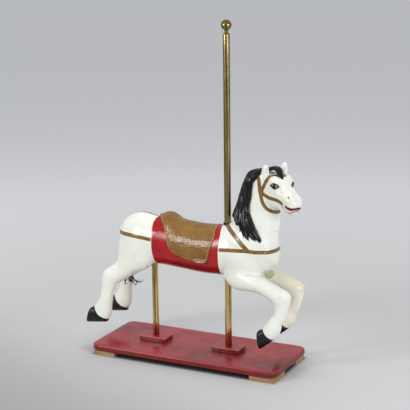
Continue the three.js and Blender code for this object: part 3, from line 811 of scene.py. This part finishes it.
def hoof_mesh(spec, side):
    """A painted hoof: rings from the coronet round to the sole, with a proud wall at the toe."""
    y, half = side * spec["y"], spec["half"]
    heel, front, low, toe = (np.array([spec[key][0], y, spec[key][1]], float)
                             for key in ("heel", "front", "low", "toe"))
    theta = np.linspace(0, 2 * np.pi, 48, endpoint=False)
    point, across = (np.sign(c) * np.abs(c) ** 0.65 for c in (np.cos(theta), np.sin(theta)))
    across = across * (1 - 0.10 * np.maximum(point, 0))

    def ring(a, b, wide, scale=1.0, shift=0.0):
        return ((a + b) / 2 + scale * np.outer(point, (b - a) / 2)
                + scale * np.outer(across, [0, wide, 0]) + shift)

    normal = unit(np.cross(front - heel, [0, 1, 0]))
    if normal @ (toe - front) < 0:
        normal = -normal
    rings = [ring(heel, front, half, 0.90, -1.5 * normal),
             ring(heel, front, half + 1.0, 0.99, -0.6 * normal)]
    for share in (0.06, 0.35, 0.7, 0.93):
        rings.append(ring(heel + (low - heel) * share, front + (toe - front) * share, half + 1 + 2 * share))
    return tube(rings + [ring(low, toe, half + 2.5, scale) for scale in (0.97, 0.80)])


# ---------------------------------------------------------------- materials


def colour(text):
    """Linear colour from an sRGB hex code."""
    parts = [int(text[k:k + 2], 16) / 255 for k in (0, 2, 4)]
    return [c / 12.92 if c <= 0.04045 else ((c + 0.055) / 1.055) ** 2.4 for c in parts] + [1.0]


class Shader:
    """A Principled material and short ways to add nodes to it. A colour may be a hex code."""

    def __init__(self, name, **sockets):
        self.material = bpy.data.materials.new(name)
        self.material.use_nodes = True
        self.tree = self.material.node_tree
        self.surface = self.tree.nodes["Principled BSDF"]
        for key, value in sockets.items():
            self.surface.inputs[key.replace("_", " ")].default_value = value
        self.place = self.node("ShaderNodeTexCoord").outputs["Object"]

    def node(self, kind, **settings):
        node = self.tree.nodes.new(kind)
        for key, value in settings.items():
            setattr(node, key, value)
        return node

    def put(self, socket, value):
        if hasattr(value, "is_output"):
            self.tree.links.new(value, socket)
        else:
            socket.default_value = colour(value) if isinstance(value, str) else value

    def value(self, what):
        """A socket, as it is or made from a noise's numbers or from a mask's name."""
        if isinstance(what, tuple):
            return self.noise(*what)
        return self.attribute(what) if isinstance(what, str) else what

    def math(self, operation, a, b=0.0):
        node = self.node("ShaderNodeMath", operation=operation)
        for socket, value in zip(node.inputs, (a, b)):
            self.put(socket, value)
        return node.outputs[0]

    def times(self, a, b):
        return self.math("MULTIPLY", a, b)

    def minus(self, a, b):
        return self.math("SUBTRACT", a, b)

    def mix(self, share, a, b):
        node = self.node("ShaderNodeMix", data_type="RGBA")
        for index, value in ((0, share), (6, a), (7, b)):
            self.put(node.inputs[index], value)
        return node.outputs[2]

    def step(self, value, low, high, start=0.0, end=1.0):
        """`start` below low, `end` above high, and smooth between."""
        node = self.node("ShaderNodeMapRange", interpolation_type="SMOOTHSTEP")
        keys = ("Value", "From Min", "From Max", "To Min", "To Max")
        for key, number in zip(keys, (self.value(value), low, high, start, end)):
            self.put(node.inputs[key], number)
        return node.outputs["Result"]

    def over(self, base, top, value, low, high, start=0.0, end=1.0):
        """`top` over `base`, as much as a step of the value says."""
        return self.mix(self.step(value, low, high, start, end), base, top)

    def attribute(self, name):
        return self.node("ShaderNodeAttribute", attribute_name=name).outputs["Fac"]

    def split(self, vector):
        node = self.node("ShaderNodeSeparateXYZ")
        self.put(node.inputs[0], vector)
        return node.outputs

    def vector_math(self, operation, vector, constant=(0, 0, 0)):
        node = self.node("ShaderNodeVectorMath", operation=operation)
        self.put(node.inputs[0], vector)
        node.inputs[1].default_value = constant
        return node.outputs

    def noise(self, scale, detail, roughness=0.55, stretch=(1, 1, 1)):
        squeeze, node = self.node("ShaderNodeMapping"), self.node("ShaderNodeTexNoise")
        self.put(squeeze.inputs["Vector"], self.place)
        squeeze.inputs["Scale"].default_value = stretch
        self.put(node.inputs["Vector"], squeeze.outputs["Vector"])
        for key, value in (("Scale", scale), ("Detail", detail), ("Roughness", roughness)):
            node.inputs[key].default_value = value
        return node.outputs["Fac"]

    def voronoi(self, scale, feature):
        node = self.node("ShaderNodeTexVoronoi", feature=feature)
        self.put(node.inputs["Vector"], self.place)
        node.inputs["Scale"].default_value = scale
        return node.outputs["Distance"]

    def finish(self, base, roughness, *layers):
        """The material, from a step's arguments for roughness and (height, strength, metres) bumps."""
        self.put(self.surface.inputs["Base Color"], base)
        self.put(self.surface.inputs["Roughness"], self.step(*roughness))
        for height, strength, distance in layers:
            node = self.node("ShaderNodeBump")
            self.put(node.inputs["Height"], self.value(height))
            node.inputs["Strength"].default_value = strength
            node.inputs["Distance"].default_value = distance
            for link in self.surface.inputs["Normal"].links:
                self.put(node.inputs["Normal"], link.from_socket)
            self.put(self.surface.inputs["Normal"], node.outputs["Normal"])
        return self.material


def with_harness(m, white):
    """The blanket, the straps and the marks over the white, with painted shade on the left foreleg's inner
    side and under the belly, and painted glints on the straps.
    """
    height = m.split(m.place)["Z"]
    red = m.over("b3141a", "981014", (22, 5), 0.3, 0.7)
    red = m.over(red, "701013", (40, 5), 0.6, 0.72, 0, 0.35)
    # The red is painted darker low down: painted shade under the belly.
    red = m.over(red, "4f070a", height, 0.40, 0.48, 0.6, 0)
    brown = m.over("8c6a38", "6f5229", (70, 5), 0.35, 0.7)

    def layer(base, top, name, soft=0.35, offset=0.0):
        return m.over(base, top, name, offset - soft, offset + soft)

    paint = layer(white, red, "blanket")
    # Painted shade: the left foreleg's inner side is a shaded yellowish cream, and darker higher up.
    inner = m.step("inner", 0, 30)
    paint = m.mix(m.times(inner, 0.5), paint, "ece6d0")
    paint = m.mix(m.times(inner, m.step(height, 0.33, 0.38, 0, 0.55)), paint, "c9c2a0")
    paint = m.over(paint, "7d775f", "knot", -1.6, 0.2, 0, 0.8)
    paint = m.over(paint, "c3bd9f", "knot", 0.6, 2.2)
    paint = m.over(paint, "a89a78", "chip", -1.5, 1.5, 0, 0.75)
    paint = m.over(paint, "6f6a56", "seam", 0.6, 2.4, 0.6, 0)
    paint = layer(paint, m.mix(0.45, brown, "3a2710"), "strap")
    paint = layer(paint, brown, "strap", 0.3, 0.9)
    # Pale spots on the straps are painted glints.
    return layer(paint, "c9ccd0", "strap_glint", 0.5)


def with_eyes(m, paint):
    """The eyes wrap round their domes: s runs along the head, v across it and h up, in mm."""
    at = m.vector_math("SUBTRACT", m.place, world(HEAD_ORIGIN))[0]
    s, signed, h = (m.vector_math("DOT_PRODUCT", at, axis / MM)["Value"]
                    for axis in (FORWARD, LEFTWARD, np.array([0, 0, 1.0])))
    v = m.math("ABSOLUTE", signed)
    turn = m.times(m.math("ARCTAN2", m.minus(s, 66), m.minus(v, 30)), 180 / math.pi)
    # The left eye is painted shorter and further ahead.
    turn = m.minus(m.times(turn, m.step(signed, -1, 1, 1, 1.15)), m.step(signed, -1, 1, 0, 58))
    face = m.times(m.step(m.minus(v, m.step(signed, -1, 1, 22, 12)), 0, 3), m.step(s, 20, 24))

    def lens(centre, height, half, tall, tilt):
        """Above 0 inside a lens about an angle and a height, as a share of its height."""
        u = m.math("DIVIDE", m.minus(turn, centre), half)
        w = m.minus(m.minus(h, height), m.times(u, tilt))
        return m.minus(m.minus(1.0, m.times(u, u)), m.math("ABSOLUTE", m.math("DIVIDE", w, tall)))

    def disc(centre, height, half, tall):
        u = m.math("DIVIDE", m.minus(turn, centre), half)
        w = m.math("DIVIDE", m.minus(h, height), tall)
        return m.minus(1.0, m.math("SQRT", m.math("ADD", m.times(u, u), m.times(w, w))))

    for value, top, soft in (
        (lens(12, 835, 69, 14.5, 1.5), "12100f", 0.08),  # the black line round the eye
        (lens(11, 834.5, 52, 8.8, 1.5), "9a8781", 0.08),
        (disc(6, 835.5, 36, 11), "1c0f0d", 0.08),
        (disc(6, 835.5, 18, 6), "040303", 0.08),
        (disc(-10, 839.5, 8, 2.4), "d8d2ca", 0.15),  # a painted glint
    ):
        paint = m.mix(m.times(m.step(value, -soft, soft), face), paint, top)
    return paint


def with_mouth(m, paint):
    """A black mouth line over a red lip with a pale edge, the lower lip's line and the nostrils."""
    paint = m.mix(m.times(m.step("mouth", 8.8, 10.2, 1, 0), m.step("under", 0.0, 2.5)), paint, "c8928c")
    paint = m.over(paint, "180807", "mouth", 4.6, 5.4, 1, 0)
    paint = m.mix(m.times(m.step("mouth", 6.4, 7.4, 1, 0), m.step("under", 3.4, 4.4)), paint, "a8433e")
    paint = m.over(paint, "7a4a3c", "lip", 2.4, 3.6, 0.9, 0)
    return m.over(paint, "34302c", "nostril", 3.2, 4.6, 0.9, 0)


def white_paint():
    """Old gloss white, chipped, with painted shade round the rods, and what is painted over it."""
    m = Shader("horse_paint", Coat_Weight=0.12, Coat_Roughness=0.16, IOR=1.5, Specular_IOR_Level=0.36)
    white = m.over("f1f3ea", "e6e8da", (5, 3), 0.35, 0.7)
    white = m.over(white, "dcdcc6", (22, 5), 0.55, 0.75, 0, 0.35)
    white = m.over(white, "8d8672", (60, 6, 0.7), 0.70, 0.73, 0, 0.35)
    # Painted shade round the rods, darker the nearer they are.
    white = m.over(white, "57503c", "rods", 0.5, 9, 0.75, 0)
    crackle = m.step(m.voronoi(95, "DISTANCE_TO_EDGE"), 0.0, 0.03)
    return m.finish(with_mouth(m, with_eyes(m, with_harness(m, white))), ((30, 4), 0.3, 0.75, 0.15, 0.32),
                    ((9, 3), 0.25, 0.006), ((48, 4), 0.2, 0.0015), (crackle, 0.12, 0.0004),
                    ((160, 4), 0.1, 0.0003))


def saddle_paint():
    """Bronze-brown enamel over a finely pebbled surface, with a paler edge and a dark rim."""
    m = Shader("saddle_paint", Coat_Weight=0.35, Coat_Roughness=0.06, IOR=1.5, Specular_IOR_Level=0.3)
    brown = m.over("8f672c", "7a531f", (14, 5), 0.3, 0.72)
    brown = m.over(brown, "a5834c", (70, 6, 0.65), 0.58, 0.72, 0, 0.4)
    brown = m.over(brown, "b38a52", "rim", 5.0, 9.0, 0.5, 0)
    return m.finish(m.over(brown, "4c2e12", "rim", 0.8, 2.4, 0.7, 0), ((90, 4), 0.3, 0.7, 0.2, 0.4),
                    (m.voronoi(120, "SMOOTH_F1"), 0.9, 0.0034), ((150, 5, 0.65), 0.5, 0.0012))


def hair_paint():
    """Black gloss that has dulled in patches."""
    m = Shader("hair_paint", Coat_Weight=0.45, Coat_Roughness=0.04, Specular_IOR_Level=0.15)
    black = m.over("030404", "0b0d0f", (12, 5, 0.6, (9, 9, 1.2)), 0.4, 0.75)
    return m.finish(m.over(black, "4a535a", (90, 5, 0.7), 0.68, 0.76, 0, 0.4),
                    ((70, 4), 0.3, 0.7, 0.16, 0.34), ((26, 5, 0.65, (9, 9, 1.0)), 0.6, 0.002),
                    ((300, 3), 0.2, 0.0004))


def hoof_paint():
    """Black, scraped through to the wood in specks."""
    m = Shader("hoof_paint", Coat_Weight=0.15, Coat_Roughness=0.2, Specular_IOR_Level=0.3)
    black = m.over("090909", "151513", (40, 5), 0.4, 0.7)
    return m.finish(m.over(black, "6f6656", (110, 6, 0.7), 0.66, 0.7, 0, 0.8),
                    ((60, 4), 0.3, 0.7, 0.3, 0.5), ((14, 3, 0.5, (1, 1, 9)), 0.3, 0.0015),
                    ((180, 4), 0.25, 0.0005))


def brass():
    """Old brass tube: painted reflections in light and dark bands along it, drawn lines, brown tarnish in
    patches, and darker above the horse.
    """
    m = Shader("brass", Metallic=1.0)
    reflection_streaks = (17, 3, 0.6, (10, 10, 0.12))
    lines = (60, 4, 0.6, (10, 10, 0.2))
    patches = (9, 5, 0.6, (2, 2, 0.7))
    # The light and dark bands along the tube are painted reflections.
    tone = m.over("f0d38e", "80662e", reflection_streaks, 0.36, 0.64)
    tone = m.over(tone, "3a3016", reflection_streaks, 0.60, 0.68, 0, 0.75)
    tone = m.over(tone, "b09250", lines, 0.45, 0.75, 0, 0.5)
    tone = m.over(tone, "6d5a30", patches, 0.52, 0.72, 0, 0.55)
    tone = m.over(tone, "4a3a1c", (140, 6, 0.7), 0.64, 0.72, 0, 0.6)
    return m.finish(m.over(tone, "4a4430", m.split(m.place)["Z"], 0.60, 0.66, 0, 0.55),
                    (patches, 0.35, 0.7, 0.15, 0.34), (lines, 0.12, 0.0004), ((240, 4), 0.1, 0.0002))


def shade_dark_metal():
    """Near-black metal, its darkness standing in for the shade in the gap round the pole, rubbed to a
    brassy tone in places.
    """
    m = Shader("collar_dark_for_shade", Metallic=0.3)
    # The collar's near-black is painted shade for its gap.
    tone = m.over("14120e", "2b261b", (60, 5), 0.4, 0.7)
    return m.finish(m.over(tone, "5a4a2a", (160, 5), 0.62, 0.7, 0, 0.7), ((80, 4), 0.3, 0.7, 0.35, 0.6),
                    ((200, 4), 0.3, 0.0005))


def red_gloss():
    """Thick red enamel on the stand, scuffed and stained where things have stood and leaked, with painted
    shade on the sides and a painted highlight along the top edge.
    """
    m = Shader("red_enamel", Coat_Weight=0.2, Coat_Roughness=0.1, IOR=1.5, Specular_IOR_Level=0.32)
    red = m.over("aa2a2d", "901f22", (3.4, 4, 0.5, (0.5, 1.6, 1)), 0.3, 0.72)
    red = m.over(red, "b04a4a", (34, 6, 0.65), 0.58, 0.7, 0, 0.25)
    red = m.over(red, "4e2f2c", (3.2, 5, 0.55, (1, 1.5, 1)), 0.55, 0.75, 0, 0.6)
    red = m.over(red, "a96566", (26, 6, 0.6, (0.4, 2.4, 1)), 0.66, 0.76, 0, 0.25)
    # The sides are painted darker than the top: painted shade.
    facing_for_shade = m.split(m.node("ShaderNodeNewGeometry").outputs["Normal"])["Z"]
    red = m.over(red, "5c1013", facing_for_shade, 0.25, 0.75, 0.75, 0)
    # Dark rings round the blocks, and a painted highlight with wear along the top edge.
    near = m.step("blocks", 2, 34, 0.75, 0)
    red = m.mix(m.times(near, m.step((11, 5), 0.35, 0.6)), red, "3b2a24")
    edge_highlight_and_wear = m.times(m.step("edge", 0.3, 2.2, 0.55, 0), m.step((30, 4), 0.3, 0.5))
    return m.finish(m.mix(edge_highlight_and_wear, red, "d88478"), ((20, 5), 0.3, 0.7, 0.16, 0.4),
                    ((14, 3, 0.5, (0.6, 3, 1)), 0.3, 0.002), ((120, 5), 0.15, 0.0004))


def bare_wood():
    """Unpainted softwood with grain and handling marks."""
    m = Shader("bare_wood")
    rings = (22, 6, 0.6, (0.35, 4, 4))
    grain = (160, 4, 0.6, (0.08, 2, 2))
    tone = m.over("b08a66", "8f6a48", rings, 0.35, 0.68)
    tone = m.over(tone, "5e432b", grain, 0.5, 0.75, 0, 0.5)
    return m.finish(m.over(tone, "786650", (14, 5), 0.55, 0.75, 0, 0.5), (rings, 0.3, 0.7, 0.6, 0.85),
                    (grain, 0.5, 0.0008), (rings, 0.3, 0.0008))


def floor_paper():
    """Pale studio paper, with painted light that makes it paler with distance, painted shade that makes it
    greyer to the front, and a painted shadow under the board.
    """
    m = Shader("studio_paper")
    # Painted light: paler with distance.
    tone = m.over("cdcdcc", "f2f2f2", m.vector_math("LENGTH", m.place)["Value"], 0.8, 4)
    # Painted shade: greyer to the front.
    front = m.vector_math("DOT_PRODUCT", m.place, (-0.35, -0.94, 0))["Value"]
    tone = m.over(tone, "9e9e9c", front, -0.1, 1.1)
    # A painted shadow under the board.
    place = m.split(m.place)
    beside = m.math("ABSOLUTE", m.minus(place["X"], SHIFT_X * MM))
    inside = m.math("MINIMUM", m.minus(BOARD["length"] / 2 * MM, beside),
                    m.minus(BOARD["width"] / 2 * MM, m.math("ABSOLUTE", place["Y"])))
    return m.finish(m.over(tone, "2c2826", inside, -0.006, 0.02, 0, 0.92), ((40, 3), 0.3, 0.7, 0.75, 0.9))


# ---------------------------------------------------------------- camera, floor and light

TARGET = Vector(world([44, 0, 705]).tolist())
AZIMUTH, ELEVATION, ROLL = (math.radians(a) for a in (26.43, 13.17, -0.70))
DISTANCE = 5.324
LENS = 1212 / 410 * 36  # the long side of the sensor is 36 mm


def place_camera():
    data = bpy.data.cameras.new("camera")
    data.sensor_width = 36
    data.lens = LENS
    data.clip_start, data.clip_end = 0.1, 200
    camera = bpy.data.objects.new("camera", data)
    bpy.context.scene.collection.objects.link(camera)
    back = Vector((math.sin(AZIMUTH) * math.cos(ELEVATION), -math.cos(AZIMUTH) * math.cos(ELEVATION),
                   math.sin(ELEVATION)))
    right = (-back).cross(Vector((0, 0, 1))).normalized()
    up = right.cross(-back)
    x = right * math.cos(ROLL) + up * math.sin(ROLL)
    y = up * math.cos(ROLL) - right * math.sin(ROLL)
    turn = Matrix((x, y, back)).transposed().to_4x4()
    camera.matrix_world = Matrix.Translation(TARGET + back * DISTANCE) @ turn
    bpy.context.scene.camera = camera


# Name, place, target, size across and up, power and tint.
LIGHTS = [
    ("key", (-2.3, -3.6, 2.2), (0, 0, 0.5), (1.1, 1.5), 92, (1, 0.995, 0.98)),
    ("fill", (4.4, -1.9, 1.9), (0, 0, 0.6), (1.8, 1.8), 90, (0.98, 0.99, 1)),
    ("top", (-0.4, 0.6, 4.0), (0, 0, 0.4), (2.0, 2.0), 42, (1, 1, 1)),
]
FLOOR_REACH = 60


def area_light(name, place, target, size, power, tint):
    data = bpy.data.lights.new(name, "AREA")
    data.shape = "RECTANGLE"
    data.size, data.size_y = size
    data.energy = power
    data.color = tint
    light = bpy.data.objects.new(name, data)
    bpy.context.scene.collection.objects.link(light)
    light.location = place
    light.rotation_euler = (Vector(target) - Vector(place)).to_track_quat("-Z", "Y").to_euler()
    light.visible_glossy = name != "top"  # the top light would streak the saddle


def studio():
    scene = bpy.context.scene
    scene.view_settings.view_transform = "Standard"
    scene.world = bpy.data.worlds.new("studio")
    scene.world.use_nodes = True
    back = scene.world.node_tree.nodes["Background"]
    back.inputs["Color"].default_value = (0.80, 0.82, 0.86, 1)
    back.inputs["Strength"].default_value = 0.66
    mesh = bpy.data.meshes.new("floor")
    corners = [(x * FLOOR_REACH, y * FLOOR_REACH, 0) for x, y in ((-1, -1), (1, -1), (1, 1), (-1, 1))]
    mesh.from_pydata(corners, [], [(0, 1, 2, 3)])
    floor = bpy.data.objects.new("floor", mesh)
    scene.collection.objects.link(floor)
    mesh.materials.append(floor_paper())
    for light in LIGHTS:
        area_light(*light)


# ---------------------------------------------------------------- pieces


def horse_piece():
    points, quads = carve_horse()
    points = relax(points, quads)
    masks = paint(points, quads)
    # The straps and the blanket stand a hair proud of the white, as thick paint on carving does.
    lift = 0.9 * smoothstep(masks["strap"], -0.8, 0.8) + 0.5 * smoothstep(masks["blanket"], -1, 1)
    points = points + lift[:, None] * vertex_normals(points, quads)
    make_object("horse_body", points, quads.tolist(), white_paint(), "paint", ["horse"], masks)


def hair_and_hooves():
    hair = hair_paint()
    outward(make_object("mane_and_forelock", *gather(mane_parts()), hair, "hair", ["horse"]))
    outward(make_object("tail_hair", *gather(tail_parts()), hair, "hair", ["tail"]))
    hooves = [hoof_mesh(spec, side) for spec in (FORE_HOOF, HIND_HOOF) for side in (1, -1)]
    outward(make_object("hooves", *gather(hooves), hoof_paint(), "black", ["horse"]))


def saddle_piece():
    points, faces, rim = saddle_mesh()
    make_object("saddle_seat", points, faces, saddle_paint(), "saddle", ["saddle"], {"rim": rim})


def finial_profile():
    """A neck with a rolled foot, and the ball over it."""
    neck = [(r, FINIAL["bottom"] + h)
            for r, h in ((10.0, 0), (10.0, 1.4), (9.2, 2.4), (8.0, 3.4), (7.6, 8), (7.9, 12))]
    middle = POLE["top"] + FINIAL["neck_height"] + FINIAL["ball"] - 3
    start = math.asin(FINIAL["neck"] / FINIAL["ball"])
    return neck + [(FINIAL["ball"] * math.sin(a), middle - FINIAL["ball"] * math.cos(a))
                   for a in np.linspace(start, math.pi - 0.06, 26)]


def collar_profile():
    inner, outer, low = POLE["radius"] + 0.3, COLLAR["radius"], COLLAR["bottom"]
    high = low + COLLAR["height"]
    ring = ([(inner, low), (outer - 1, low), (outer, low + 1)]
            + rounded(2, 0, 90, outer - 2, high - 2) + [(inner + 0.8, high), (inner, high - 0.8)])
    return ring + ring[:1]


def rods():
    metal = brass()
    pole = ([(POLE["radius"], POLE["bottom"] + 110 * k) for k in range(13)]
            + rounded(5, 0, 90, POLE["radius"] - 5, POLE["top"] - 5))
    rod = [(REAR_ROD["radius"], h) for h in np.linspace(REAR_ROD["bottom"], REAR_ROD["top"], 6)]
    outward(make_object("main_pole", *lathe(pole, POLE["x"]), metal, "brass", ["pole"]))
    outward(make_object("back_rod", *lathe(rod, REAR_ROD["x"]), metal, "brass", ["rear_rod"]))
    outward(make_object("finial_ball", *lathe(finial_profile(), POLE["x"]), metal, "brass", ["finial"]))
    outward(make_object("collar_dark_for_shade", *lathe(collar_profile(), POLE["x"]), shade_dark_metal(), "black",
                        ["collar"]))


def stand():
    enamel, rod_places = red_gloss(), (POLE["x"], REAR_ROD["x"])
    board = fine_top(*slab(BOARD))
    outward(make_object("red_board", *board, enamel, "red_paint", ["base_board"],
                        stand_marks(board[0], BOARD, blocks=rod_places)))
    for end, node, x in zip(("front", "back"), ("front_block", "rear_block"), rod_places):
        block = fine_top(*slab(BLOCK, x, arc=5))
        outward(make_object(end + "_plinth", *block, enamel, "red_paint", [node],
                            stand_marks(block[0], BLOCK, x)))
    wood = bare_wood()
    for node in ("foot_front_left", "foot_front_right", "foot_rear_left", "foot_rear_right"):
        for material_slot in frame["nodes"][node].material_slots:
            material_slot.material = wood


place_camera()
horse_piece()
hair_and_hooves()
saddle_piece()
rods()
stand()
studio()
